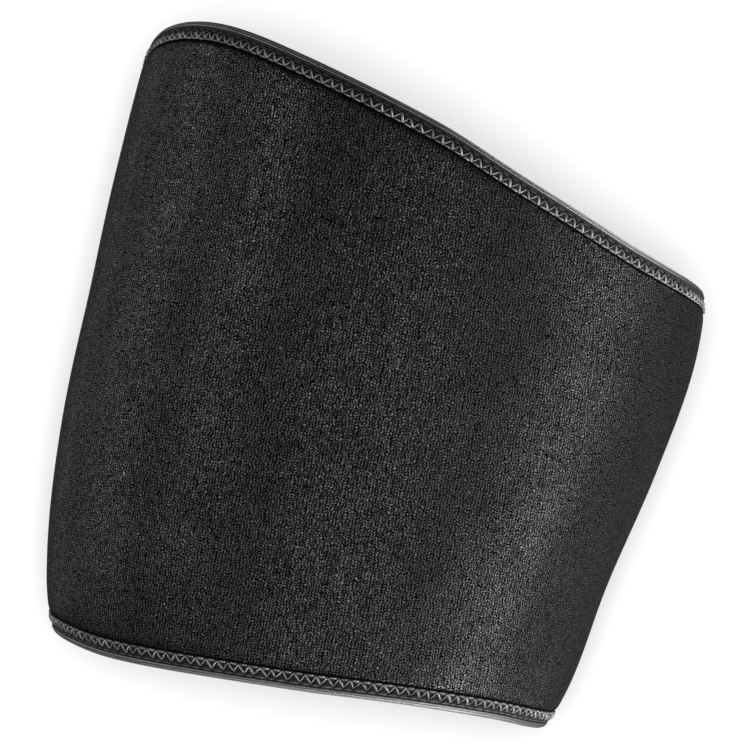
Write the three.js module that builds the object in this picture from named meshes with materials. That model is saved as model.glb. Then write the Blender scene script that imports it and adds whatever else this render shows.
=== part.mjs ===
// A neoprene thigh support: an open, tapered sleeve with a slanted upper opening and a
// stretch tape folded over the raw edge of each opening. It lies on its back wall, which
// its own weight flattens a little, so the cross-section is a springy oval.
// Millimetres. +X is across the sleeve, +Y runs up the thigh to the wide opening, +Z is up.
import * as THREE from 'three';

// Wall and tape
const WALL = 4.0;
const TAPE_THICKNESS = 0.7;
const TAPE_WIDTH = 5.6;
const TAPE_SUNK = 0.2;
const FOLD_LENGTH = 1.7;
const FOLD_DEPTH = 0.5;
const GAP = 0.3;

// How the oval settles on the surface: how far the free oval would reach below it, and how
// sharply the wall bends away from its flat strip. From these, the heights above the lowest
// point of the free oval at which the bend begins and ends
const SETTLE_DEPTH = 8.0;
const SETTLE_BEND = 0.4;
const BEND_RATIO = Math.exp(1 / SETTLE_BEND);
const BEND_START = SETTLE_DEPTH / (SETTLE_BEND * (BEND_RATIO - 1));
const BEND_END = BEND_START * BEND_RATIO;

// Cross-sections along the sleeve: reach to the left and right of the middle, and height
const SECTIONS = [
  { along: -92.5, left: 83.5, right: 69.7, height: 118.0 },
  { along: -76.0, left: 87.9, right: 74.2, height: 121.5 },
  { along: -48.0, left: 90.9, right: 79.0, height: 126.0 },
  { along: -10.0, left: 91.8, right: 86.8, height: 131.0 },
  { along: 26.0, left: 90.9, right: 91.6, height: 135.0 },
  { along: 60.0, left: 89.6, right: 90.7, height: 138.0 },
  { along: 92.5, left: 87.1, right: 90.0, height: 140.0 },
];

// Folded edge of each opening: how far along the sleeve it lies, by the angle around the
// oval in degrees, from the right side over the crown to the left side and back underneath
const UPPER_EDGE = [
  { angle: 0, along: 45.3 },
  { angle: 10, along: 46.7 },
  { angle: 20, along: 48.0 },
  { angle: 33, along: 50.3 },
  { angle: 48, along: 54.8 },
  { angle: 70, along: 65.2 },
  { angle: 90, along: 76.7 },
  { angle: 120, along: 88.9 },
  { angle: 139, along: 93.4 },
  { angle: 158, along: 92.1 },
  { angle: 180, along: 85.6 },
  { angle: 225, along: 77.6 },
  { angle: 270, along: 63.6 },
  { angle: 315, along: 50.0 },
];
const LOWER_EDGE = [
  { angle: 0, along: -91.8 },
  { angle: 20, along: -91.1 },
  { angle: 45, along: -89.0 },
  { angle: 70, along: -88.7 },
  { angle: 100, along: -90.8 },
  { angle: 138, along: -93.5 },
  { angle: 160, along: -92.6 },
  { angle: 180, along: -91.5 },
  { angle: 225, along: -89.0 },
  { angle: 315, along: -90.0 },
];

// Facets around the oval, along the wall, and around the outside and inside of a fold
const AROUND = 64;
const WALL_STEPS = 8;
const FOLD_STEPS = 5;
const FOLD_INSIDE_STEPS = 3;

// Degrees in a turn, and the half-angle over which the wall's direction is taken
const FULL_TURN = 360;
const HALF_STEP = 0.5;

// Depths below the outer face of the wall: its pressed edge inside the fold and where the
// tape ends, and the tape's outer and inner faces at its free edges
const RAW_EDGE_DEPTH = FOLD_DEPTH + TAPE_THICKNESS + GAP;
const SHOULDER_DEPTH = TAPE_SUNK + TAPE_THICKNESS + GAP;
const TAPE_TOP = TAPE_SUNK;
const TAPE_BOTTOM = WALL - TAPE_SUNK;
const MID_DEPTH = WALL / 2;

const neopreneFabric = new THREE.MeshStandardMaterial({ color: 0x1b1b1c, roughness: 0.9, metalness: 0 });
const upperTape = new THREE.MeshStandardMaterial({ color: 0x2a2a2b, roughness: 0.8, metalness: 0 });
const lowerTape = upperTape.clone();

// Value of a column at a place along a table, on a smooth curve through the rows
function smoothValue(rows, place, column, at) {
  const last = rows.length - 1;
  let i = 0;
  while (i < last - 1 && rows[i + 1][place] <= at) i += 1;
  const slope = (k) => {
    const before = rows[Math.max(k - 1, 0)];
    const after = rows[Math.min(k + 1, last)];
    return (after[column] - before[column]) / (after[place] - before[place]);
  };
  const span = rows[i + 1][place] - rows[i][place];
  const t = (at - rows[i][place]) / span;
  const t2 = t * t;
  const t3 = t2 * t;
  return (2 * t3 - 3 * t2 + 1) * rows[i][column]
    + (t3 - 2 * t2 + t) * span * slope(i)
    + (3 * t2 - 2 * t3) * rows[i + 1][column]
    + (t3 - t2) * span * slope(i + 1);
}

// The same table continued for two rows past each end of the full turn
function aroundTheTurn(rows) {
  const turned = (row, turn) => ({ ...row, angle: row.angle + turn });
  const before = rows.slice(-2).map((row) => turned(row, -FULL_TURN));
  const after = rows.slice(0, 2).map((row) => turned(row, FULL_TURN));
  return [...before, ...rows, ...after];
}

const upperEdge = aroundTheTurn(UPPER_EDGE);
const lowerEdge = aroundTheTurn(LOWER_EDGE);

// Height of the wall where the free oval would lie at a given height above its own lowest
// point: flat on the surface, then a slow bend, then the oval itself
function settled(height) {
  if (height <= BEND_START) return 0;
  if (height >= BEND_END) return height - SETTLE_DEPTH;
  return SETTLE_BEND * (height * Math.log(height / BEND_START) - height + BEND_START);
}

// A point on the outer face of the wall
function outerFace(angle, along) {
  const turn = THREE.MathUtils.degToRad(angle);
  const side = Math.cos(turn) > 0 ? 'right' : 'left';
  const reach = smoothValue(SECTIONS, 'along', side, along);
  const rise = (smoothValue(SECTIONS, 'along', 'height', along) + SETTLE_DEPTH) / 2;
  const free = rise + rise * Math.sin(turn);
  return new THREE.Vector2(reach * Math.cos(turn), settled(free));
}

// A point at a depth below the outer face, and never under the surface it lies on
function wallPoint(angle, along, depth) {
  const face = outerFace(angle, along);
  const ahead = outerFace(angle + HALF_STEP, along);
  const behind = outerFace(angle - HALF_STEP, along);
  const run = ahead.sub(behind).normalize();
  const x = face.x - depth * run.y;
  const z = face.y + depth * run.x;
  return new THREE.Vector3(x, along, Math.max(z, 0));
}

// A closed ring whose cross-section is a loop of { along, depth } points for each angle
function sweptRing(loopAt) {
  const positions = [];
  const triangles = [];
  let count = 0;
  for (let i = 0; i < AROUND; i += 1) {
    const angle = (i * FULL_TURN) / AROUND;
    const loop = loopAt(angle);
    count = loop.length;
    for (const { along, depth } of loop) positions.push(...wallPoint(angle, along, depth).toArray());
  }
  for (let i = 0; i < AROUND; i += 1) {
    const here = i * count;
    const next = ((i + 1) % AROUND) * count;
    for (let j = 0; j < count; j += 1) {
      const k = (j + 1) % count;
      triangles.push(here + j, next + k, next + j, here + j, here + k, next + k);
    }
  }
  const geometry = new THREE.BufferGeometry();
  geometry.setAttribute('position', new THREE.Float32BufferAttribute(positions, 3));
  geometry.setIndex(triangles);
  geometry.computeVertexNormals();
  return geometry;
}

// Cross-section of the wall: full thickness between the tapes, pressed thinner towards
// each raw edge under them
function wallLoop(angle) {
  const low = smoothValue(lowerEdge, 'angle', 'along', angle);
  const high = smoothValue(upperEdge, 'angle', 'along', angle);
  const rawEdge = FOLD_LENGTH + GAP;
  const shoulder = TAPE_WIDTH + GAP;
  const outer = [
    { along: low + rawEdge, depth: RAW_EDGE_DEPTH },
    { along: low + shoulder, depth: SHOULDER_DEPTH },
  ];
  for (let i = 0; i <= WALL_STEPS; i += 1) {
    outer.push({ along: THREE.MathUtils.lerp(low + shoulder, high - shoulder, i / WALL_STEPS), depth: 0 });
  }
  outer.push({ along: high - shoulder, depth: SHOULDER_DEPTH });
  outer.push({ along: high - rawEdge, depth: RAW_EDGE_DEPTH });
  const inner = outer.map(({ along, depth }) => ({ along, depth: WALL - depth })).reverse();
  return [...outer, ...inner];
}

// Half an oval around the fold, from the outer leg of the tape to its inner leg
function foldArc(edge, inward, length, halfDepth, steps) {
  const arc = [];
  for (let i = 0; i <= steps; i += 1) {
    const turn = Math.PI * (i / steps - 0.5);
    arc.push({
      along: edge + inward * (FOLD_LENGTH - length * Math.cos(turn)),
      depth: MID_DEPTH + halfDepth * Math.sin(turn),
    });
  }
  return arc;
}

// Cross-section of a tape: two legs drawn together at the fold; inward points from the
// folded edge towards the middle of the sleeve
function tapeLoop(edge, inward) {
  const free = edge + inward * TAPE_WIDTH;
  const halfDepth = MID_DEPTH - FOLD_DEPTH;
  const insideLength = FOLD_LENGTH - TAPE_THICKNESS;
  const insideHalfDepth = halfDepth - TAPE_THICKNESS;
  const loop = [
    { along: free, depth: TAPE_TOP },
    ...foldArc(edge, inward, FOLD_LENGTH, halfDepth, FOLD_STEPS),
    { along: free, depth: TAPE_BOTTOM },
    { along: free, depth: TAPE_BOTTOM - TAPE_THICKNESS },
    ...foldArc(edge, inward, insideLength, insideHalfDepth, FOLD_INSIDE_STEPS).reverse(),
    { along: free, depth: TAPE_TOP + TAPE_THICKNESS },
  ];
  return inward > 0 ? loop.reverse() : loop;
}

function makeSleeve() {
  const sleeve = new THREE.Mesh(sweptRing(wallLoop), neopreneFabric);
  sleeve.name = 'sleeve';
  return sleeve;
}

function makeBinding(name, edgeRows, inward, material) {
  const loopAt = (angle) => tapeLoop(smoothValue(edgeRows, 'angle', 'along', angle), inward);
  const binding = new THREE.Mesh(sweptRing(loopAt), material);
  binding.name = name;
  return binding;
}

const thighSupport = new THREE.Group();
thighSupport.add(
  makeSleeve(),
  makeBinding('upper_binding', upperEdge, -1, upperTape),
  makeBinding('lower_binding', lowerEdge, 1, lowerTape),
);

export default thighSupport;
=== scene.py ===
"""Looks of a neoprene thigh support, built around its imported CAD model.

The sleeve lies on its back wall. Its knit-faced wall, the ribbed tape folded over the edge
of each opening and the zigzag sewing thread are modelled here, in metres, in the CAD frame:
+X is across the sleeve, +Y runs up the thigh to the wide opening and +Z is up.
"""

import math
from typing import NamedTuple

import bpy
import numpy as np
from bpy.props import FloatProperty, FloatVectorProperty, IntProperty, PointerProperty
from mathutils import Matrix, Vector


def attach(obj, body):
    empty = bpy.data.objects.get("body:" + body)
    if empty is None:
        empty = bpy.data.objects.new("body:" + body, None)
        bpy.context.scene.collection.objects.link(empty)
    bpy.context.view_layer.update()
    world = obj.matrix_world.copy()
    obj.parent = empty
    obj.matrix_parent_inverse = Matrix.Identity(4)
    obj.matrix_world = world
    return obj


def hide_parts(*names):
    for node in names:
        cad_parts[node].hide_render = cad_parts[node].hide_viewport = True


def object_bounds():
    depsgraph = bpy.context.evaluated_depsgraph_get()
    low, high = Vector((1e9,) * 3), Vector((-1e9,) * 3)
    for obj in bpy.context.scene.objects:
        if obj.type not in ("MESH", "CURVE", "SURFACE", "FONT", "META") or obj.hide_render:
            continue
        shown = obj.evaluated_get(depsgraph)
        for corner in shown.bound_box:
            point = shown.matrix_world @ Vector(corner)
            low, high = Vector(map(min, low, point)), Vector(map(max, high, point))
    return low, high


bl_info = {
    "name": "Thigh Support Sleeve",
    "version": (1, 0, 0),
    "blender": (4, 5, 0),
    "location": "3D View > Sidebar > Thigh Support",
    "description": "Builds the looks of a neoprene thigh support around its packed CAD model",
    "category": "Object",
}

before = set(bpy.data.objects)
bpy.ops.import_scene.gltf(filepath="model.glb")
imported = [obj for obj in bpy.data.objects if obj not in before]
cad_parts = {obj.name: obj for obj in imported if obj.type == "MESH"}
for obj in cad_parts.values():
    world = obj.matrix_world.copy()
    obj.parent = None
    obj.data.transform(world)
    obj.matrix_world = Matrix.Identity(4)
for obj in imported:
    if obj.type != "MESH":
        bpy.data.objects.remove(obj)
CAD_BOX = [list(corner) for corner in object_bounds()]
BODY = "root"
CLOTH_UV = "Cloth"
# Point attribute of painted shade in creases, grooves, needle dents and the sewn strip; on a thread
# also each leg's own tone
SHADE_AND_TONE = "ShadeAndTone"


class Section(NamedTuple):
    """One cross-section: its place along the sleeve, its reach to each side and its height."""

    along: float
    left: float
    right: float
    height: float


class EdgePlace(NamedTuple):
    """Where a folded edge lies along the sleeve, at an angle around the oval in degrees."""

    angle: float
    along: float


# The same cross-sections and edges as the CAD model has
SECTIONS = [
    Section(-0.0925, 0.0835, 0.0697, 0.1180),
    Section(-0.0760, 0.0879, 0.0742, 0.1215),
    Section(-0.0480, 0.0909, 0.0790, 0.1260),
    Section(-0.0100, 0.0918, 0.0868, 0.1310),
    Section(0.0260, 0.0909, 0.0916, 0.1350),
    Section(0.0600, 0.0896, 0.0907, 0.1380),
    Section(0.0925, 0.0871, 0.0900, 0.1400),
]

# From the right side over the crown to the left side and back underneath
UPPER_EDGE = [
    EdgePlace(0, 0.0453),
    EdgePlace(10, 0.0467),
    EdgePlace(20, 0.0480),
    EdgePlace(33, 0.0503),
    EdgePlace(48, 0.0548),
    EdgePlace(70, 0.0652),
    EdgePlace(90, 0.0767),
    EdgePlace(120, 0.0889),
    EdgePlace(139, 0.0934),
    EdgePlace(158, 0.0921),
    EdgePlace(180, 0.0856),
    EdgePlace(225, 0.0776),
    EdgePlace(270, 0.0636),
    EdgePlace(315, 0.0500),
]
LOWER_EDGE = [
    EdgePlace(0, -0.0918),
    EdgePlace(20, -0.0911),
    EdgePlace(45, -0.0890),
    EdgePlace(70, -0.0887),
    EdgePlace(100, -0.0908),
    EdgePlace(138, -0.0935),
    EdgePlace(160, -0.0926),
    EdgePlace(180, -0.0915),
    EdgePlace(225, -0.0890),
    EdgePlace(315, -0.0900),
]

# Degrees: a full turn, the underside where the mesh closes, and the half-step for directions
FULL_TURN = 360.0
UNDERSIDE = -90.0
HALF_STEP = 0.5

# Which way the middle of the sleeve lies from a folded edge
UPPER_INWARD = -1
LOWER_INWARD = 1

# Mesh density
WALL_AROUND = 288
WALL_ALONG = 72
STEPS_PER_STITCH = 6
POINTS_PER_RIB = 4
PATH_DRAFT_POINTS = 2000
RIM_SAMPLES = 4000
THREAD_POINTS = 7
THREAD_SIDES = 6

# How much of the spacing along the open wall crowds towards its two creases
WALL_CROWDING = 0.75

# Sine of the angle around the oval where the ripples start and where they are whole
RIPPLE_START = -0.8
RIPPLE_WHOLE = -0.2

# The steepest lean of a rim that the way across its tape makes up for
STEEPEST_LEAN = 0.9

# How many radii a thread's ends dive into the tape, and how much the radii differ
THREAD_PLUNGE = 2.4
THREAD_VARIETY = 0.25

# Shares of a stitch's length: the dash on its base line, and how far its peak strays
BASE_DASH = 0.64
PEAK_SWAY = 0.14

# How much the tones of the thread differ, how much painted shade darkens a leg towards its peak, where
# it sinks into the tape, and how much darker a base dash is
LEG_VARIETY = 0.6
LEG_PEAK_SHADE = 0.80
DASH_FADE = 0.45

# How much painted shade darkens the sewn strip of the tape among the stitches, and the distance over
# which that starts
SEWN_SHADE = 0.9
SEWN_BLEND = 0.0006

# Seeds of the random draws
STITCH_SEED = 7
PEAK_SEED = 11


class SleeveSizes(bpy.types.PropertyGroup):
    """Sizes of the wall and of the tape on its edges."""

    wall: FloatProperty(
        name="Wall",
        description="Thickness of the knit-faced neoprene",
        default=0.0040,
        unit="LENGTH",
    )
    settle_depth: FloatProperty(
        name="Settle depth",
        description="How far the free oval would reach below the surface that it lies on",
        default=0.0080,
        unit="LENGTH",
    )
    settle_bend: FloatProperty(
        name="Settle bend",
        description="How sharply the wall bends away from its flat strip",
        default=0.4,
    )
    ripple: FloatProperty(
        name="Ripple",
        description="How far the soft wall strays from its even oval",
        default=0.0004,
        unit="LENGTH",
    )
    crease_depth: FloatProperty(
        name="Crease depth",
        description="How deep the sewing presses the wall beside the tape",
        default=0.0005,
        unit="LENGTH",
    )
    crease_reach: FloatProperty(
        name="Crease reach",
        description="How far from the tape the pressed wall rises again",
        default=0.0007,
        unit="LENGTH",
    )
    tape_width: FloatProperty(
        name="Tape width",
        description="How far the tape reaches from its fold, on each face",
        default=0.0056,
        unit="LENGTH",
    )
    tape_thickness: FloatProperty(
        name="Tape thickness",
        description="Thickness of the tape",
        default=0.0007,
        unit="LENGTH",
    )
    tape_sunk: FloatProperty(
        name="Tape sunk",
        description="How far the sewing sinks the tape's free edge below the wall's face",
        default=0.00020,
        unit="LENGTH",
    )
    tape_gap: FloatProperty(
        name="Tape gap",
        description="Room between the tape and the wall's edge inside it",
        default=0.0003,
        unit="LENGTH",
    )
    fold_length: FloatProperty(
        name="Fold length",
        description="Length of the rolled fold, along the sleeve",
        default=0.0017,
        unit="LENGTH",
    )
    fold_depth: FloatProperty(
        name="Fold depth",
        description="How far the tape is drawn in towards the middle of the wall at its fold",
        default=0.0005,
        unit="LENGTH",
    )
    rib_pitch: FloatProperty(
        name="Rib pitch",
        description="Distance between the tape's ribs",
        default=0.00080,
        unit="LENGTH",
    )
    rib_depth: FloatProperty(
        name="Rib depth",
        description="Depth of the furrows between the tape's ribs",
        default=0.00022,
        unit="LENGTH",
    )
    groove_line: FloatProperty(
        name="Groove line",
        description="Distance of the groove beside the rolled fold from the fold",
        default=0.0020,
        unit="LENGTH",
    )
    groove_width: FloatProperty(
        name="Groove width",
        description="Half-width of the groove beside the rolled fold",
        default=0.00034,
        unit="LENGTH",
    )
    groove_depth: FloatProperty(
        name="Groove depth",
        description="Depth of the groove beside the rolled fold",
        default=0.00020,
        unit="LENGTH",
    )


class StitchSizes(bpy.types.PropertyGroup):
    """Sizes of the zigzag sewing."""

    upper_count: IntProperty(
        name="Upper stitches",
        description="Stitches around the wide opening",
        default=160,
    )
    lower_count: IntProperty(
        name="Lower stitches",
        description="Stitches around the narrow opening",
        default=136,
    )
    strong_thread: FloatProperty(
        name="Strong thread",
        description="Diameter of the thread in each stitch's upright leg",
        default=0.00072,
        unit="LENGTH",
    )
    base_thread: FloatProperty(
        name="Base thread",
        description="Diameter of the thread along the base line",
        default=0.00060,
        unit="LENGTH",
    )
    fine_thread: FloatProperty(
        name="Fine thread",
        description="Diameter of the thread in each stitch's returning leg",
        default=0.00043,
        unit="LENGTH",
    )
    base_line: FloatProperty(
        name="Base line",
        description="Distance of the straight row of stitches from the fold",
        default=0.0052,
        unit="LENGTH",
    )
    peak_line: FloatProperty(
        name="Peak line",
        description="Distance of the zigzag's peaks from the fold",
        default=0.0029,
        unit="LENGTH",
    )
    loft: FloatProperty(
        name="Loft",
        description="How high the middle of a stitch arches over the tape",
        default=0.00001,
        unit="LENGTH",
    )
    unevenness: FloatProperty(
        name="Unevenness",
        description="How much the stitches' heights and peaks differ",
        default=0.00016,
        unit="LENGTH",
    )
    dimple: FloatProperty(
        name="Dimple",
        description="Depth of the dent around each needle hole",
        default=0.00055,
        unit="LENGTH",
    )
    dimple_radius: FloatProperty(
        name="Dimple radius",
        description="Radius of the dent around each needle hole",
        default=0.00060,
        unit="LENGTH",
    )


class ClothColours(bpy.types.PropertyGroup):
    """Colours and pitches of the cloths."""

    knit_dark: FloatVectorProperty(
        name="Knit, dark",
        description="Colour between the knit's loops",
        default=(0.0015, 0.0015, 0.0015),
        subtype="COLOR",
    )
    knit_light: FloatVectorProperty(
        name="Knit, light",
        description="Colour of the fibres on top of the knit's loops",
        default=(0.055, 0.055, 0.055),
        subtype="COLOR",
    )
    wale: FloatProperty(
        name="Wale",
        description="Distance between the knit's columns",
        default=0.00185,
        unit="LENGTH",
    )
    course: FloatProperty(
        name="Course",
        description="Distance between the knit's rows",
        default=0.00080,
        unit="LENGTH",
    )
    # The tape's dark colour is painted shade in its furrows and sewn strip, and the tone of its dark
    # cross yarns
    tape_dark: FloatVectorProperty(
        name="Tape, dark",
        description="Colour in the tape's furrows",
        default=(0.006, 0.006, 0.006),
        subtype="COLOR",
    )
    tape_light: FloatVectorProperty(
        name="Tape, light",
        description="Colour of the yarn on the tape's ribs",
        default=(0.180, 0.180, 0.180),
        subtype="COLOR",
    )
    thread_dark: FloatVectorProperty(
        name="Thread, dark",
        description="Colour between the thread's plies",
        default=(0.050, 0.050, 0.050),
        subtype="COLOR",
    )
    thread_light: FloatVectorProperty(
        name="Thread, light",
        description="Colour of the thread's plies",
        default=(0.72, 0.72, 0.72),
        subtype="COLOR",
    )


class StudioSettings(bpy.types.PropertyGroup):
    """The floor, the lights and the camera."""

    floor_colour: FloatVectorProperty(
        name="Floor",
        description="Colour of the plain floor",
        default=(0.87, 0.87, 0.87),
        subtype="COLOR",
    )
    floor_side: FloatProperty(
        name="Floor side",
        description="Length of each side of the floor",
        default=30.0,
        unit="LENGTH",
    )
    camera_place: FloatVectorProperty(
        name="Camera place",
        description="Where the camera stands above the sleeve",
        default=(-0.00193, 0.00282, 1.168),
        unit="LENGTH",
    )
    camera_roll: FloatProperty(
        name="Camera roll",
        description="Turn of the camera about its line of sight",
        default=math.radians(11.2),
        subtype="ANGLE",
    )
    camera_lens: FloatProperty(
        name="Camera lens",
        description="Focal length of the camera in millimetres",
        default=176.0,
    )
    sky: FloatProperty(
        name="Sky",
        description="Strength of the even light from all around",
        default=0.07,
    )
    floor_strength: FloatProperty(
        name="Floor strength",
        description="Strength of the light that whitens the floor, in watts per square metre",
        default=3.7,
    )
    floor_softness: FloatProperty(
        name="Floor softness",
        description="How wide that light is, which softens the shadow on the floor",
        default=math.radians(25),
        subtype="ANGLE",
    )
    softbox_power: FloatProperty(
        name="Softbox power",
        description="Power of the soft lights around the sleeve together, in watts",
        default=53.0,
    )


def smooth_curve(places, values, at):
    """Values on a smooth curve through a table's rows, at any places along it."""
    places = np.asarray(places, float)
    values = np.asarray(values, float)
    rows = np.arange(len(places))
    before = np.maximum(rows - 1, 0)
    after = np.minimum(rows + 1, rows[-1])
    slopes = (values[after] - values[before]) / (places[after] - places[before])
    row = np.clip(np.searchsorted(places, at, side="right") - 1, 0, rows[-1] - 1)
    span = places[row + 1] - places[row]
    t = (at - places[row]) / span
    return (
        (2 * t**3 - 3 * t**2 + 1) * values[row]
        + (t**3 - 2 * t**2 + t) * span * slopes[row]
        + (3 * t**2 - 2 * t**3) * values[row + 1]
        + (t**3 - t**2) * span * slopes[row + 1]
    )


def smooth_step(low, high, value):
    """0 below low, 1 above high and a smooth rise between them."""
    t = np.clip((value - low) / (high - low), 0, 1)
    return t * t * (3 - 2 * t)


def section_value(column, along):
    """A column of the cross-section table at any place along the sleeve."""
    places = [section.along for section in SECTIONS]
    return smooth_curve(places, [getattr(section, column) for section in SECTIONS], along)


def edge_along(edge, angle):
    """Where a folded edge lies along the sleeve, at any angle of a turn and a bit more."""
    before = [EdgePlace(row.angle - FULL_TURN, row.along) for row in edge]
    after = [EdgePlace(row.angle + FULL_TURN, row.along) for row in edge]
    rows = before + edge + after
    return smooth_curve([row.angle for row in rows], [row.along for row in rows], angle)


def outer_face(sizes, angle, along):
    """Points of the even outer face, as X and Z: an oval that settles flat on the floor."""
    turn = np.radians(angle)
    reach = np.where(np.cos(turn) > 0, section_value("right", along), section_value("left", along))
    rise = (section_value("height", along) + sizes.settle_depth) / 2
    free = rise + rise * np.sin(turn)
    # Flat on the floor, then a slow bend, then the oval itself
    bend_ratio = math.exp(1 / sizes.settle_bend)
    bend_start = sizes.settle_depth / (sizes.settle_bend * (bend_ratio - 1))
    height = np.clip(free, bend_start, bend_start * bend_ratio)
    bend = sizes.settle_bend * (height * np.log(height / bend_start) - height + bend_start)
    settled = np.where(free > height, free - sizes.settle_depth, bend)
    return np.stack(np.broadcast_arrays(reach * np.cos(turn), settled), axis=-1)


# Shallow waves of the soft wall: turns around the oval, waves per metre along it, phase, share
RIPPLES = [
    (3, 9.0, 0.4, 0.50),
    (5, -14.0, 1.9, 0.30),
    (8, 21.0, 4.1, 0.20),
]


def ripple(sizes, angle, along):
    """How far the soft wall stands out from the even oval; nothing where it lies on the floor."""
    turn = np.radians(angle)
    swell = 0.0
    for turns, waves, phase, share in RIPPLES:
        swell = swell + share * np.sin(turns * turn + 2 * math.pi * waves * along + phase)
    return sizes.ripple * swell * smooth_step(RIPPLE_START, RIPPLE_WHOLE, np.sin(turn))


def wall_point(sizes, angle, along, depth):
    """Points at a depth below the outer face, and never under the floor."""
    angle, along, depth = np.broadcast_arrays(angle, along, depth)
    face = outer_face(sizes, angle, along)
    run = outer_face(sizes, angle + HALF_STEP, along) - outer_face(sizes, angle - HALF_STEP, along)
    run = run / np.linalg.norm(run, axis=-1, keepdims=True)
    sunk = depth - ripple(sizes, angle, along)
    x = face[..., 0] - sunk * run[..., 1]
    z = face[..., 1] + sunk * run[..., 0]
    return np.stack([x, along, np.maximum(z, 0.0)], axis=-1)


def path_length(points):
    """Length along a row of points up to each of them."""
    steps = np.linalg.norm(np.diff(points, axis=0), axis=-1)
    return np.concatenate([[0.0], np.cumsum(steps)])


class Rim:
    """One folded edge, with places on it given by the length along it and across the tape."""

    def __init__(self, sizes, edge, inward):
        self.sizes = sizes
        self.edge = edge
        self.inward = inward
        self.angles = UNDERSIDE + FULL_TURN * np.arange(-RIM_SAMPLES, 2 * RIM_SAMPLES) / RIM_SAMPLES
        middle = edge_along(edge, self.angles) + inward * sizes.tape_width / 2
        line = wall_point(sizes, self.angles, middle, 0.0)
        lengths = path_length(line)
        self.lengths = lengths - lengths[RIM_SAMPLES]
        self.total = self.lengths[2 * RIM_SAMPLES]
        lean = np.gradient(line[:, 1], self.lengths)
        self.lean = np.clip(lean, -STEEPEST_LEAN, STEEPEST_LEAN)

    def point(self, length, across, depth):
        """Points at a length along the rim, a distance across the tape and a depth."""
        lean = np.interp(length, self.lengths, self.lean)
        square_on = length - self.inward * across * lean
        angle = np.interp(square_on, self.lengths, self.angles)
        along = edge_along(self.edge, angle) + self.inward * across
        return wall_point(self.sizes, angle, along, depth)


def cloth_mesh(name, points, faces, cloth_map, shade_and_tone):
    """A smooth mesh with the cloth map of its corners and the painted shade, with a thread's own tone,
    of each point.
    """
    mesh = bpy.data.meshes.new(name)
    mesh.from_pydata(points.reshape(-1, 3).tolist(), [], faces)
    layer = mesh.uv_layers.new(name=CLOTH_UV)
    layer.uv.foreach_set("vector", cloth_map.reshape(-1).astype(np.float32))
    shading = mesh.attributes.new(SHADE_AND_TONE, "FLOAT", "POINT")
    shading.data.foreach_set("value", shade_and_tone.reshape(-1).astype(np.float32))
    mesh.shade_smooth()
    return mesh


def ring_mesh(name, points, uvs, shade_and_tone):
    """A closed ring from a loop of points for each step around it, with its cloth map.

    points is steps by loop by 3 and shade_and_tone is steps by loop, from 0 for open cloth to 1
    for cloth under the darkest painted shade; uvs has one more step and one more loop place, to close.
    """
    steps, loop = points.shape[:2]
    here = np.arange(steps)[:, None] * loop
    following = (np.arange(steps)[:, None] + 1) % steps * loop
    place = np.arange(loop)[None, :]
    after = (place + 1) % loop
    quads = np.stack([here + place, here + after, following + after, following + place], axis=-1)
    corners = np.stack([uvs[:-1, :-1], uvs[:-1, 1:], uvs[1:, 1:], uvs[1:, :-1]], axis=2)
    return cloth_mesh(name, points, quads.reshape(-1, 4).tolist(), corners, shade_and_tone)


def tube_mesh(name, lines, tops, radius, shade_and_tone):
    """Tubes along lines of points; tops lie above the lines and say which way is up.

    shade_and_tone has one value for each point of the lines, from 0 for bright thread to 1 for dark,
    by painted shade and the leg's own tone.
    """
    count, rows = lines.shape[:2]
    run = np.gradient(lines, axis=1)
    side = np.cross(run, tops - lines)
    side = side / np.linalg.norm(side, axis=-1, keepdims=True)
    up = np.cross(side, run)
    up = up / np.linalg.norm(up, axis=-1, keepdims=True)
    turn = 2 * math.pi * np.arange(THREAD_SIDES) / THREAD_SIDES
    ring = up[:, :, None] * np.cos(turn)[:, None] + side[:, :, None] * np.sin(turn)[:, None]
    points = lines[:, :, None] + radius[:, None, None, None] * ring
    numbers = np.arange(count * rows * THREAD_SIDES).reshape(count, rows, THREAD_SIDES)
    beside = np.roll(numbers, -1, axis=2)
    quads = np.stack([numbers[:, :-1], beside[:, :-1], beside[:, 1:], numbers[:, 1:]], axis=-1)
    ends = np.concatenate([numbers[:, 0, ::-1], numbers[:, -1]])
    faces = quads.reshape(-1, 4).tolist() + ends.tolist()
    # Cloth map: length along the tube and turn around it; the hidden ends have no map
    steps = np.linalg.norm(np.diff(lines, axis=1), axis=-1)
    far = np.cumsum(steps, axis=1)[:, :, None]
    near = far - steps[:, :, None]
    turned = turn + 2 * math.pi / THREAD_SIDES
    corners = [(near, turn), (near, turned), (far, turned), (far, turn)]
    maps = [np.stack(np.broadcast_arrays(place, angle), axis=-1) for place, angle in corners]
    sides_map = np.stack(maps, axis=3).reshape(-1)
    cloth_map = np.concatenate([sides_map, np.zeros(2 * ends.size)])
    return cloth_mesh(name, points, faces, cloth_map, np.repeat(shade_and_tone, THREAD_SIDES))


def add_object(name, data):
    """Puts a mesh, a light or a camera in the scene."""
    item = bpy.data.objects.new(name, data)
    bpy.context.scene.collection.objects.link(item)
    return item


def add_piece(name, mesh, material):
    """Puts a mesh in the scene as a finished piece of the part."""
    mesh.materials.append(material)
    mesh.validate()
    piece = add_object(name, mesh)
    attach(piece, BODY)
    return piece


def add_node(tree, kind, inputs=None, **settings):
    """Adds a shader node; an input is a value or another node's output."""
    node = tree.nodes.new(kind)
    for setting, value in settings.items():
        setattr(node, setting, value)
    for socket, value in (inputs or {}).items():
        if isinstance(value, bpy.types.NodeSocket):
            tree.links.new(value, node.inputs[socket])
        else:
            node.inputs[socket].default_value = value
    return node


def calc(tree, operation, *values):
    """Adds a Math node and gives its output."""
    inputs = dict(enumerate(values))
    return add_node(tree, "ShaderNodeMath", inputs, operation=operation).outputs[0]


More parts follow.
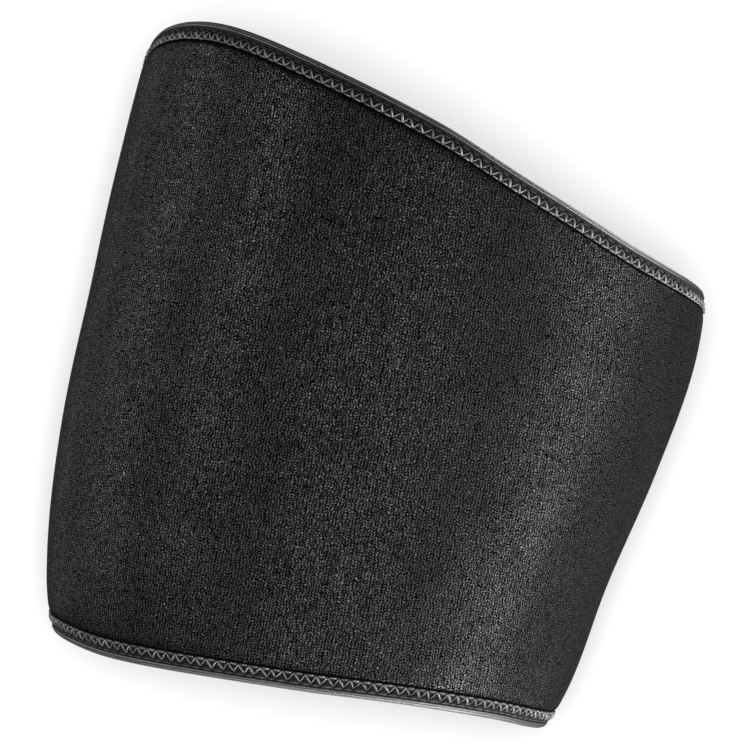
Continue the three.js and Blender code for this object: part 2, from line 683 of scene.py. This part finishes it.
def new_cloth(name, roughness, specular):
    """A material with an empty cloth shader: its node tree and its shader node."""
    material = bpy.data.materials.new(name)
    material.use_nodes = True
    tree = material.node_tree
    tree.nodes.clear()
    inputs = {"Roughness": roughness, "Specular IOR Level": specular}
    shader = add_node(tree, "ShaderNodeBsdfPrincipled", inputs)
    output = add_node(tree, "ShaderNodeOutputMaterial")
    tree.links.new(shader.outputs["BSDF"], output.inputs["Surface"])
    return material, tree, shader


def link_colour(tree, shader, share, dark, light):
    """Colours a shader from dark to light by a share."""
    node = add_node(tree, "ShaderNodeMix", data_type="RGBA")
    tree.links.new(share, node.inputs["Factor"])
    colour_sockets = [socket for socket in node.inputs if socket.type == "RGBA"]
    for socket, colour in zip(colour_sockets, (dark, light)):
        socket.default_value = (*colour, 1.0)
    mixed = next(socket for socket in node.outputs if socket.type == "RGBA")
    tree.links.new(mixed, shader.inputs["Base Color"])


def link_bump(tree, shader, height, strength, distance):
    """Raises a shader's surface by a height from 0 to 1 over a distance."""
    inputs = {"Height": height, "Strength": strength, "Distance": distance}
    bump = add_node(tree, "ShaderNodeBump", inputs)
    tree.links.new(bump.outputs[0], shader.inputs["Normal"])


def cloth_place(tree):
    """The place on the cloth map."""
    return add_node(tree, "ShaderNodeUVMap", uv_map=CLOTH_UV).outputs[0]


def cloth_shade_and_tone(tree):
    """How much painted shade, and on a thread each leg's own tone, darkens the cloth, from 0 to 1."""
    return add_node(tree, "ShaderNodeAttribute", attribute_name=SHADE_AND_TONE).outputs["Fac"]


def clamped(tree, value):
    """Adds a Clamp node from 0 to 1 and gives its output."""
    return add_node(tree, "ShaderNodeClamp", {"Value": value}).outputs[0]


def at_least(tree, least, value):
    """Goes from least to 1 as a value goes from 0 to 1."""
    return calc(tree, "MULTIPLY_ADD", value, 1.0 - least, least)


# Detail of the noises, and how strong the finer steps of the stroke noise are
NOISE_DETAIL = 2.0
NOISE_ROUGHNESS = 0.6


def stroke_noise(tree, place, width, length):
    """Noise in short strokes of a width and length."""
    stretched = add_node(
        tree,
        "ShaderNodeMapping",
        {"Vector": place, "Scale": (width, length, 1.0)},
        vector_type="TEXTURE",
    )
    noise = add_node(
        tree,
        "ShaderNodeTexNoise",
        {
            "Vector": stretched.outputs[0],
            "Scale": 1.0,
            "Detail": NOISE_DETAIL,
            "Roughness": NOISE_ROUGHNESS,
        },
        noise_dimensions="2D",
    )
    return noise.outputs["Fac"]


# How finely and how far the knit's columns wander, and how far a leg slants, in rows
KNIT_WANDER_SCALE = 480.0
KNIT_WANDER = 0.0016
KNIT_SLANT = 0.9

# Least height at the sides of a leg, and least paleness, lustre and height among the legs
KNIT_LEG_SIDE = 0.3
KNIT_LEAST_PALE = 0.7
KNIT_LEAST_LUSTRE = 0.5
KNIT_LEAST_HEIGHT = 0.3

# Chance above which a leg is a pale speck; size, strength and least tone of the soft clouds
KNIT_SPECK = 0.998
KNIT_CLOUD_SIZE = 0.016
KNIT_CLOUD_TONE = 0.3
KNIT_CLOUD_LEAST = 0.85

# How much painted shade darkens the knit in the crease beside each tape, and how steeply the tone
# falls towards a leg's sides
KNIT_CREASE_SHADE = 0.6
KNIT_TONE_POWER = 1.8

# How the knit takes light: a leg's glint, its roughness and how much shine smooths it
KNIT_IOR = 1.8
KNIT_GLOSS_POWER = 2.4
KNIT_GLOSS = 2.7
KNIT_ROUGHNESS = 0.54
KNIT_SMOOTHING = 0.30
KNIT_BUMP_STRENGTH = 1.0
KNIT_BUMP = 0.000025


def knit_material(colours):
    """Black jersey knit: columns of slanted loop legs, each with its own height and lustre."""
    material, tree, shader = new_cloth("black_jersey_knit", roughness=0.5, specular=0.5)
    shader.inputs["IOR"].default_value = KNIT_IOR
    cloth = cloth_place(tree)
    # The columns wander a little, as a stretched knit's do
    sway = add_node(
        tree,
        "ShaderNodeTexNoise",
        {"Vector": cloth, "Scale": KNIT_WANDER_SCALE, "Detail": NOISE_DETAIL},
        noise_dimensions="2D",
    )
    shift = add_node(
        tree,
        "ShaderNodeVectorMath",
        {0: sway.outputs["Color"], 1: (KNIT_WANDER, KNIT_WANDER, 0.0), 2: cloth},
        operation="MULTIPLY_ADD",
    )
    place = add_node(tree, "ShaderNodeSeparateXYZ", {0: shift.outputs[0]})
    columns = calc(tree, "DIVIDE", place.outputs[0], colours.wale)
    column_chance = add_node(
        tree,
        "ShaderNodeTexWhiteNoise",
        {"W": calc(tree, "FLOOR", columns)},
        noise_dimensions="1D",
    ).outputs["Value"]
    rows = calc(tree, "ADD", calc(tree, "DIVIDE", place.outputs[1], colours.course), column_chance)
    aside = calc(tree, "ABSOLUTE", calc(tree, "SUBTRACT", calc(tree, "FRACT", columns), 0.5))
    from_middle = calc(tree, "MULTIPLY", aside, 2.0)
    slanted_rows = calc(tree, "MULTIPLY_ADD", from_middle, KNIT_SLANT, rows)
    across_leg = calc(tree, "SINE", calc(tree, "MULTIPLY", from_middle, math.pi))
    leg_round = at_least(tree, KNIT_LEG_SIDE, across_leg)
    row_round = calc(tree, "SINE", calc(tree, "MULTIPLY", calc(tree, "FRACT", slanted_rows), math.pi))
    leg_height = calc(tree, "MULTIPLY", leg_round, row_round)
    leg_column = calc(tree, "FLOOR", calc(tree, "MULTIPLY", columns, 2.0))
    leg_row = calc(tree, "FLOOR", slanted_rows)
    leg_number = add_node(tree, "ShaderNodeCombineXYZ", {0: leg_column, 1: leg_row})
    chance = add_node(
        tree,
        "ShaderNodeTexWhiteNoise",
        {"Vector": leg_number.outputs[0]},
        noise_dimensions="2D",
    ).outputs["Value"]
    # Some legs are lighter and catch more light; soft clouds change the tone from place to place
    paleness = at_least(tree, KNIT_LEAST_PALE, chance)
    lustre = at_least(tree, KNIT_LEAST_LUSTRE, chance)
    speck = calc(tree, "GREATER_THAN", chance, KNIT_SPECK)
    clouds = stroke_noise(tree, cloth, KNIT_CLOUD_SIZE, KNIT_CLOUD_SIZE)
    tone = calc(tree, "MULTIPLY_ADD", clouds, KNIT_CLOUD_TONE, KNIT_CLOUD_LEAST)
    # Painted shade darkens the knit in the crease beside each tape
    unshaded = calc(tree, "MULTIPLY_ADD", cloth_shade_and_tone(tree), -KNIT_CREASE_SHADE, 1.0)
    tone_after_shade = calc(tree, "MULTIPLY", tone, unshaded)
    leg_tone = calc(tree, "MULTIPLY", calc(tree, "POWER", leg_height, KNIT_TONE_POWER), tone_after_shade)
    share = calc(tree, "MULTIPLY", leg_tone, calc(tree, "ADD", paleness, speck))
    link_colour(tree, shader, share, colours.knit_dark, colours.knit_light)
    glint = calc(tree, "MULTIPLY", leg_tone, lustre)
    gloss = calc(tree, "MULTIPLY", calc(tree, "POWER", glint, KNIT_GLOSS_POWER), KNIT_GLOSS)
    tree.links.new(clamped(tree, gloss), shader.inputs["Specular IOR Level"])
    shine = calc(tree, "MULTIPLY", leg_height, chance)
    roughness = calc(tree, "MULTIPLY_ADD", shine, -KNIT_SMOOTHING, KNIT_ROUGHNESS)
    tree.links.new(roughness, shader.inputs["Roughness"])
    height = calc(tree, "MULTIPLY", leg_height, at_least(tree, KNIT_LEAST_HEIGHT, chance))
    link_bump(tree, shader, height, KNIT_BUMP_STRENGTH, KNIT_BUMP)
    return material


# Size of the tape's cross yarns, and how strongly and from what tone they show
YARN_WIDTH = 0.0007
YARN_LENGTH = 0.0004
YARN_CONTRAST = 3.0
YARN_START = -1.0

# How much painted shade in the sewn strip, the groove and the needle dents darkens the tape, how much
# rougher it is there, and how it takes light
TAPE_PAINTED_SHADE = 0.91
TAPE_SHADE_ROUGHENS = 0.5
TAPE_ROUGHNESS = 0.36
TAPE_IOR = 2.4
TAPE_BUMP_STRENGTH = 0.5
TAPE_BUMP = 0.0002


def tape_material(colours, rib_pitch):
    """Charcoal stretch tape: painted shade in the furrows between its ribs, and fine cross yarns over
    them.
    """
    material, tree, shader = new_cloth("charcoal_ribbed_tape", roughness=TAPE_ROUGHNESS, specular=1.0)
    shader.inputs["IOR"].default_value = TAPE_IOR
    cloth = cloth_place(tree)
    place = add_node(tree, "ShaderNodeSeparateXYZ", {0: cloth})
    rib_turn = calc(tree, "MULTIPLY", place.outputs[1], 2 * math.pi / rib_pitch)
    # Painted shade in the furrows between the ribs, darkest where the furrows are deepest
    rib = calc(tree, "MULTIPLY_ADD", calc(tree, "COSINE", rib_turn), -0.5, 0.5)
    yarns = stroke_noise(tree, cloth, YARN_WIDTH, YARN_LENGTH)
    tone = clamped(tree, calc(tree, "MULTIPLY_ADD", yarns, YARN_CONTRAST, YARN_START))
    # Painted shade darkens the tape in the sewn strip, the groove beside the fold and the needle dents
    shade_and_tone = cloth_shade_and_tone(tree)
    unshaded = calc(tree, "MULTIPLY_ADD", shade_and_tone, -TAPE_PAINTED_SHADE, 1.0)
    rib_after_shade = calc(tree, "MULTIPLY", rib, unshaded)
    share = calc(tree, "MULTIPLY", rib_after_shade, tone)
    link_colour(tree, shader, share, colours.tape_dark, colours.tape_light)
    tree.links.new(rib_after_shade, shader.inputs["Specular IOR Level"])
    roughness = calc(tree, "MULTIPLY_ADD", shade_and_tone, TAPE_SHADE_ROUGHENS, TAPE_ROUGHNESS)
    tree.links.new(roughness, shader.inputs["Roughness"])
    link_bump(tree, shader, tone, TAPE_BUMP_STRENGTH, TAPE_BUMP)
    return material


# The plies' turn in radians for each metre of thread, and how the thread takes light
PLY_TWIST = 14000.0
THREAD_ROUGHNESS = 0.20
THREAD_IOR = 2.4
THREAD_BUMP_STRENGTH = 0.4
THREAD_BUMP = 0.0001


def thread_material(colours):
    """Grey sewing thread with slanting plies; painted shade and each leg's own tone darken it."""
    material, tree, shader = new_cloth("grey_sewing_thread", roughness=THREAD_ROUGHNESS, specular=1.0)
    shader.inputs["IOR"].default_value = THREAD_IOR
    place = add_node(tree, "ShaderNodeSeparateXYZ", {0: cloth_place(tree)})
    twist = calc(tree, "ADD", calc(tree, "MULTIPLY", place.outputs[0], PLY_TWIST), place.outputs[1])
    ply = calc(tree, "ABSOLUTE", calc(tree, "SINE", twist))
    # Painted shade where a leg sinks into the tape, and each leg's own tone, darken the thread
    bright = calc(tree, "SUBTRACT", 1.0, cloth_shade_and_tone(tree))
    share = calc(tree, "MULTIPLY", ply, bright)
    link_colour(tree, shader, share, colours.thread_dark, colours.thread_light)
    tree.links.new(bright, shader.inputs["Specular IOR Level"])
    link_bump(tree, shader, ply, THREAD_BUMP_STRENGTH, THREAD_BUMP)
    return material


# Scale of the floor's uneven tone, and its dullest tone as a share of its colour
FLOOR_TONE_SCALE = 3.0
FLOOR_DULLEST = 0.985


def floor_material(studio):
    """Plain pale floor with a barely uneven tone."""
    material, tree, shader = new_cloth("pale_floor", roughness=0.9, specular=0.1)
    place = add_node(tree, "ShaderNodeTexCoord").outputs["Object"]
    inputs = {"Vector": place, "Scale": FLOOR_TONE_SCALE, "Detail": NOISE_DETAIL}
    noise = add_node(tree, "ShaderNodeTexNoise", inputs)
    duller = [FLOOR_DULLEST * value for value in studio.floor_colour]
    link_colour(tree, shader, noise.outputs["Fac"], duller, studio.floor_colour)
    return material


def tape_rise(sizes, across):
    """Depth of the plain tape's outer face: drawn in at the fold, less so at its free edge."""
    share = np.clip((across - sizes.fold_length) / (sizes.tape_width - sizes.fold_length), 0, 1)
    return sizes.fold_depth - (sizes.fold_depth - sizes.tape_sunk) * (1 - (1 - share) ** 2)


class THIGH_OT_sleeve_wall(bpy.types.Operator):
    """Make the knit-faced neoprene wall"""

    bl_idname = "thigh.sleeve_wall"
    bl_label = "Sleeve wall"

    def execute(self, context):
        sizes = context.scene.thigh_sizes
        angles = UNDERSIDE + FULL_TURN * np.arange(WALL_AROUND + 1) / WALL_AROUND
        low = edge_along(LOWER_EDGE, angles)[:, None]
        high = edge_along(UPPER_EDGE, angles)[:, None]
        raw_edge = sizes.fold_length + sizes.tape_gap
        shoulder = sizes.tape_width + sizes.tape_gap
        open_low = low + shoulder
        open_high = high - shoulder
        # Places along the open wall crowd towards the two creases
        turn = np.linspace(0, math.pi, WALL_ALONG)
        crowded = 0.5 - 0.5 * np.cos(turn)
        share = WALL_CROWDING * crowded + (1 - WALL_CROWDING) * turn / math.pi
        between = open_low + (open_high - open_low) * share
        crease = np.exp(-np.minimum(between - open_low, open_high - between) / sizes.crease_reach)
        # Under each tape the wall steps down and thins towards its raw edge
        along = np.concatenate([low + raw_edge, open_low, between, open_high, high - raw_edge], axis=1)
        hidden = np.ones_like(low)
        # The crease beside each tape gets painted shade as well as its dip; the hidden wall under the
        # tapes is wholly shaded
        face_shade = np.concatenate([hidden, hidden, crease, hidden, hidden], axis=1)
        under_tape = sizes.tape_thickness + sizes.tape_gap
        at_edge = hidden * (tape_rise(sizes, raw_edge) + under_tape)
        at_step = hidden * (tape_rise(sizes, shoulder) + under_tape)
        creased = sizes.crease_depth * crease
        depth = np.concatenate([at_edge, at_step, creased, at_step, at_edge], axis=1)
        angle = np.broadcast_to(angles[:, None], along.shape)
        outer = wall_point(sizes, angle, along, depth)
        inner = wall_point(sizes, angle, along, sizes.wall - depth)
        points = np.concatenate([outer, inner[:, ::-1]], axis=1)
        # Cloth map: length around the oval from the crown, and place along the sleeve
        steps = np.linalg.norm(np.diff(outer, axis=0), axis=-1)
        around = np.concatenate([np.zeros((1, outer.shape[1])), np.cumsum(steps, axis=0)])
        around = around - around[WALL_AROUND // 2]
        face_map = np.stack([around, along], axis=-1)
        uvs = np.concatenate([face_map, face_map[:, ::-1], face_map[:, :1]], axis=1)
        shading = np.concatenate([face_shade, face_shade[:, ::-1]], axis=1)
        mesh = ring_mesh("sleeve_wall", points[:-1], uvs, shading[:-1])
        colours = context.scene.thigh_colours
        wall = add_piece("sleeve_wall", mesh, knit_material(colours))
        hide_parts("sleeve")
        return {"FINISHED"}


def peak_places(count):
    """Where each stitch has its peak, as a share of its length: near the middle."""
    random = np.random.default_rng(PEAK_SEED)
    return 0.5 + PEAK_SWAY * random.uniform(-1, 1, count)


def needle_dents(stitches, rim, count, length, across):
    """Depth of the dents that the needle leaves along the base line and at the peaks."""
    pitch = rim.total / count
    stitch = np.floor(length / pitch).astype(int) % count
    share = np.mod(length / pitch, 1.0)
    from_base = share - np.round(share)
    from_peak = share - peak_places(count)[stitch]
    dents = 0.0
    for line, aside in ((stitches.base_line, from_base), (stitches.peak_line, from_peak)):
        reach = ((aside * pitch) ** 2 + (across - line) ** 2) / stitches.dimple_radius**2
        dents = dents + stitches.dimple * np.exp(-reach)
    return dents


def tape_path(sizes):
    """Path across the tape, over the fold and back on the other face, in even steps.

    Gives the place across the tape, the share of the way through it from -1 on the outer
    face to 1 on the inner one, the length along the path, and the number of ribs on it.
    """
    leg = np.linspace(sizes.tape_width, sizes.fold_length, PATH_DRAFT_POINTS)
    turn = np.linspace(-math.pi / 2, math.pi / 2, PATH_DRAFT_POINTS)
    across = np.concatenate([leg, sizes.fold_length * (1 - np.cos(turn)), leg[::-1]])
    through = np.concatenate([-np.ones_like(leg), np.sin(turn), np.ones_like(leg)])
    half = sizes.wall / 2 - tape_rise(sizes, across)
    lengths = path_length(np.stack([across, half * through], axis=-1))
    ribs = round(lengths[-1] / sizes.rib_pitch)
    even = np.linspace(0, lengths[-1], ribs * POINTS_PER_RIB + 1)
    return np.interp(even, lengths, across), np.interp(even, lengths, through), even, ribs


def tape_mesh(name, rim, sizes, stitches, count):
    """Mesh of a ribbed tape folded over one edge of the wall."""
    steps = count * STEPS_PER_STITCH
    across, through, even, ribs = tape_path(sizes)
    length = (rim.total * np.arange(steps + 1) / steps)[:, None]
    rise = tape_rise(sizes, across)
    dents = needle_dents(stitches, rim, count, length, across[None, :])
    furrows = sizes.rib_depth * (0.5 + 0.5 * np.cos(2 * math.pi * ribs * even / even[-1]))
    from_groove = (across - sizes.groove_line) / sizes.groove_width
    furrows = furrows + sizes.groove_depth * np.exp(-(from_groove**2))
    # On the legs a furrow sinks into the face; round the fold it also draws the edge in
    half_wall = sizes.wall / 2
    sunk = rise[None, :] + dents + furrows[None, :]
    drawn_in = furrows * np.sqrt(1 - through**2)
    outer = rim.point(length, (across + drawn_in)[None, :], half_wall + (half_wall - sunk) * through)
    # The hidden underside needs few points
    back = slice(None, None, -POINTS_PER_RIB)
    inset = sizes.tape_thickness * np.sqrt(1 - through[back] ** 2)
    under_half = half_wall - rise[back] - sizes.tape_thickness
    under_depth = half_wall + under_half * through[back]
    under = rim.point(length, (across[back] + inset)[None, :], under_depth[None, :])
    points = np.concatenate([outer, under], axis=1)
    # Cloth map: length along the rim, and ribs across the tape at their plain pitch
    ribs_across = even * ribs * sizes.rib_pitch / even[-1]
    cloth_across = np.concatenate([ribs_across, ribs_across[back], ribs_across[:1]])
    cloth_map = np.stack(np.broadcast_arrays(length, cloth_across[None, :]), axis=-1)
    # Painted shade: the sewn strip among the stitches, the groove beside the fold and the needle
    # dents; the hidden underside is wholly shaded
    sewn = smooth_step(stitches.peak_line - SEWN_BLEND, stitches.peak_line, across)
    groove_shade = np.exp(-(from_groove**2))
    shading = np.maximum(SEWN_SHADE * sewn, groove_shade)[None, :] + dents / stitches.dimple
    shading = np.concatenate([np.minimum(shading, 1.0), np.ones(under.shape[:2])], axis=1)
    if rim.inward > 0:
        points = points[:, ::-1]
        cloth_map = cloth_map[:, ::-1]
        shading = shading[:, ::-1]
    return ring_mesh(name, points[:-1], cloth_map, shading[:-1])


class THIGH_OT_tapes(bpy.types.Operator):
    """Make the ribbed tape folded over the edge of each opening"""

    bl_idname = "thigh.tapes"
    bl_label = "Binding tapes"

    def execute(self, context):
        sizes = context.scene.thigh_sizes
        stitches = context.scene.thigh_stitches
        material = tape_material(context.scene.thigh_colours, sizes.rib_pitch)
        for name, node, edge, inward, count in (
            ("upper_tape", "upper_binding", UPPER_EDGE, UPPER_INWARD, stitches.upper_count),
            ("lower_tape", "lower_binding", LOWER_EDGE, LOWER_INWARD, stitches.lower_count),
        ):
            rim = Rim(sizes, edge, inward)
            mesh = tape_mesh(name, rim, sizes, stitches, count)
            tape = add_piece(name, mesh, material)
            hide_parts(node)
        return {"FINISHED"}


def thread_lines(rim, sizes, stitches, count):
    """Every leg of the zigzag: its line's length along, place across, depth, radius, and painted shade
    with its own tone.

    Each stitch has a leg up to its peak, a leg down again and a length of base line. The leg
    that the sewing machine pulls tight is the fine one.
    """
    random = np.random.default_rng(STITCH_SEED)
    pitch = rim.total / count
    start = pitch * np.arange(count)[:, None]
    share = np.linspace(0, 1, THREAD_POINTS)[None, :]
    peak = stitches.peak_line + stitches.unevenness * random.uniform(-1, 1, (count, 1))
    climb = peak - stitches.base_line
    top = peak_places(count)[:, None]
    straight = np.full_like(climb * share, stitches.base_line)
    legs = (
        (start + pitch * top * share, stitches.base_line + climb * share),
        (start + pitch * (top + (1 - top) * share), stitches.base_line + climb * (1 - share)),
        (start + pitch * (0.5 + BASE_DASH * (share - 0.5)), straight),
    )
    length = np.concatenate([leg[0] for leg in legs])
    across = np.concatenate([leg[1] for leg in legs])
    pulled = [stitches.strong_thread, stitches.fine_thread]
    if rim.inward > 0:
        pulled.reverse()
    radius = np.repeat([*pulled, stitches.base_thread], count) / 2
    radius = radius * random.uniform(1 - THREAD_VARIETY, 1 + THREAD_VARIETY, len(radius))
    arch = np.sqrt(np.sin(math.pi * share))
    loft = stitches.loft + stitches.unevenness * random.uniform(-1, 1, (len(radius), 1))
    lift = loft * arch - THREAD_PLUNGE * radius[:, None] * (1 - arch)
    # Each leg has its own tone, and painted shade darkens it towards its peak, where it sinks into the
    # tape; a base dash is darker all along
    tone = random.uniform(1 - LEG_VARIETY, 1, (len(radius), 1))
    sinking_shade = LEG_PEAK_SHADE * smooth_step(0, 1, share)
    fades = (sinking_shade, sinking_shade[:, ::-1], np.full_like(share, DASH_FADE))
    shade_and_tone = 1 - tone * (1 - np.repeat(np.concatenate(fades), count, axis=0))
    return length, across, tape_rise(sizes, across) - lift, radius, shade_and_tone


def thread_mesh(name, rim, sizes, stitches, count):
    """Mesh of the zigzag thread on both faces of a tape, with a tube for each leg."""
    length, across, depth, radius, shade_and_tone = thread_lines(rim, sizes, stitches, count)
    both_faces = ((depth, -radius), (sizes.wall - depth, radius))
    lines = [rim.point(length, across, face) for face, _ in both_faces]
    tops = [rim.point(length, across, face + outward[:, None]) for face, outward in both_faces]
    lines = np.concatenate(lines)
    radius = np.tile(radius, 2)
    # Under the sleeve the thread is pressed into the tape, and not through the floor
    lines[..., 2] = np.maximum(lines[..., 2], radius[:, None])
    return tube_mesh(name, lines, np.concatenate(tops), radius, np.tile(shade_and_tone, (2, 1)))


class THIGH_OT_stitching(bpy.types.Operator):
    """Make the zigzag sewing thread on both tapes"""

    bl_idname = "thigh.stitching"
    bl_label = "Stitching"

    def execute(self, context):
        sizes = context.scene.thigh_sizes
        stitches = context.scene.thigh_stitches
        material = thread_material(context.scene.thigh_colours)
        for name, edge, inward, count in (
            ("upper_stitching", UPPER_EDGE, UPPER_INWARD, stitches.upper_count),
            ("lower_stitching", LOWER_EDGE, LOWER_INWARD, stitches.lower_count),
        ):
            rim = Rim(sizes, edge, inward)
            mesh = thread_mesh(name, rim, sizes, stitches, count)
            add_piece(name, mesh, material)
        return {"FINISHED"}


# Distance of the soft lights from the middle of the sleeve
SOFTBOX_DISTANCE = 1.6

# Soft lights: direction and elevation in degrees, width and height in metres, share of power
SOFTBOXES = [
    ("right_light", -15, 18, 1.4, 0.25, 0.105),
    ("right_high_light", -15, 35, 1.4, 0.25, 0.029),
    ("right_front_light", -50, 12, 1.0, 0.3, 0.285),
    ("right_back_light", 35, 8, 1.0, 0.3, 0.200),
    ("right_front_card", -42, -25, 1.0, 0.3, 0.050),
    ("right_back_card", 42, -25, 1.0, 0.3, 0.090),
    ("front_light", -90, 5, 1.4, 0.3, 0.075),
    ("left_light", 180, 5, 1.4, 0.3, 0.045),
    ("left_high_light", 180, 40, 1.4, 0.4, 0.065),
    ("left_card", 180, -10, 1.4, 0.3, 0.027),
    ("left_low_card", 180, -40, 1.4, 0.3, 0.021),
    ("top_light", -85, 66, 1.4, 1.4, 0.106),
]


def add_softbox(name, azimuth, elevation, width, height, power):
    """A rectangular area light, turned towards the middle of the sleeve."""
    light = bpy.data.lights.new(name, "AREA")
    light.shape = "RECTANGLE"
    light.size = width
    light.size_y = height
    light.energy = power
    softbox = add_object(name, light)
    around = math.radians(azimuth)
    up = math.radians(elevation)
    away = Vector((math.cos(up) * math.cos(around), math.cos(up) * math.sin(around), math.sin(up)))
    middle = Vector((0.0, 0.0, (CAD_BOX[0][2] + CAD_BOX[1][2]) / 2))
    softbox.location = middle + SOFTBOX_DISTANCE * away
    softbox.rotation_euler = away.to_track_quat("Z", "Y").to_euler()
    softbox.visible_camera = False
    return softbox


def add_floor(studio):
    """The floor shows, but neither throws light up at the sleeve nor stops the low cards."""
    half = studio.floor_side / 2
    level = CAD_BOX[0][2]
    mesh = bpy.data.meshes.new("floor")
    corners = [(-half, -half, level), (half, -half, level), (half, half, level), (-half, half, level)]
    mesh.from_pydata(corners, [], [(0, 1, 2, 3)])
    mesh.materials.append(floor_material(studio))
    floor = add_object("floor", mesh)
    floor.visible_diffuse = False
    floor.visible_glossy = False
    floor.visible_shadow = False
    return floor


def add_backdrop(scene, studio):
    """A white backdrop to look at, which gives the part a dim, even light."""
    world = bpy.data.worlds.new("studio")
    world.use_nodes = True
    tree = world.node_tree
    background = tree.nodes["Background"]
    background.inputs["Color"].default_value = (1.0, 1.0, 1.0, 1.0)
    seen = add_node(tree, "ShaderNodeLightPath").outputs["Is Camera Ray"]
    strength = calc(tree, "MULTIPLY_ADD", seen, 1.0 - studio.sky, studio.sky)
    tree.links.new(strength, background.inputs["Strength"])
    scene.world = world


def light_receivers(name, lit):
    """A collection of the objects that a light reaches."""
    receivers = bpy.data.collections.new(name)
    for item in lit:
        receivers.objects.link(item)
    return receivers


def add_lights(scene, studio, floor):
    """Softboxes that light the part alone, and a light of its own for the floor."""
    pieces = [item for item in scene.objects if item.type == "MESH" and item != floor]
    part_only = light_receivers("part_only", pieces)
    for name, azimuth, elevation, width, height, share in SOFTBOXES:
        power = share * studio.softbox_power
        softbox = add_softbox(name, azimuth, elevation, width, height, power)
        softbox.light_linking.receiver_collection = part_only
    sun = bpy.data.lights.new("floor_light", "SUN")
    sun.energy = studio.floor_strength
    sun.angle = studio.floor_softness
    floor_light = add_object("floor_light", sun)
    floor_light.light_linking.receiver_collection = light_receivers("floor_only", [floor])


def add_camera(scene, studio):
    """A camera that looks straight down on the sleeve, turned as the photo is."""
    camera_data = bpy.data.cameras.new("camera")
    camera_data.lens = studio.camera_lens
    camera = add_object("camera", camera_data)
    camera.location = studio.camera_place
    camera.rotation_euler = (0.0, 0.0, studio.camera_roll)
    scene.camera = camera


class THIGH_OT_stage(bpy.types.Operator):
    """Make the floor, the lights and the camera"""

    bl_idname = "thigh.stage"
    bl_label = "Stage"

    def execute(self, context):
        scene = context.scene
        studio = scene.thigh_studio
        floor = add_floor(studio)
        add_backdrop(scene, studio)
        add_lights(scene, studio, floor)
        add_camera(scene, studio)
        scene.view_settings.view_transform = "Standard"
        return {"FINISHED"}


class THIGH_PT_panel(bpy.types.Panel):
    """Lists the pieces of the thigh support"""

    bl_idname = "THIGH_PT_panel"
    bl_label = "Thigh Support"
    bl_space_type = "VIEW_3D"
    bl_region_type = "UI"
    bl_category = "Thigh Support"

    def draw(self, context):
        for operator in OPERATORS:
            self.layout.operator(operator.bl_idname)


GROUPS = {
    "thigh_sizes": SleeveSizes,
    "thigh_stitches": StitchSizes,
    "thigh_colours": ClothColours,
    "thigh_studio": StudioSettings,
}
OPERATORS = [
    THIGH_OT_sleeve_wall,
    THIGH_OT_tapes,
    THIGH_OT_stitching,
    THIGH_OT_stage,
]
CLASSES = [*GROUPS.values(), *OPERATORS, THIGH_PT_panel]


def register():
    """Registers the classes and gives each scene its settings."""
    for item in CLASSES:
        bpy.utils.register_class(item)
    for name, group in GROUPS.items():
        setattr(bpy.types.Scene, name, PointerProperty(type=group))


def unregister():
    """Takes the settings and the classes away again."""
    for name in GROUPS:
        delattr(bpy.types.Scene, name)
    for item in reversed(CLASSES):
        bpy.utils.unregister_class(item)


def main():
    """Builds every piece and the stage."""
    register()
    bpy.ops.thigh.sleeve_wall()
    bpy.ops.thigh.tapes()
    bpy.ops.thigh.stitching()
    bpy.ops.thigh.stage()


if __name__ == "__main__":
    main()
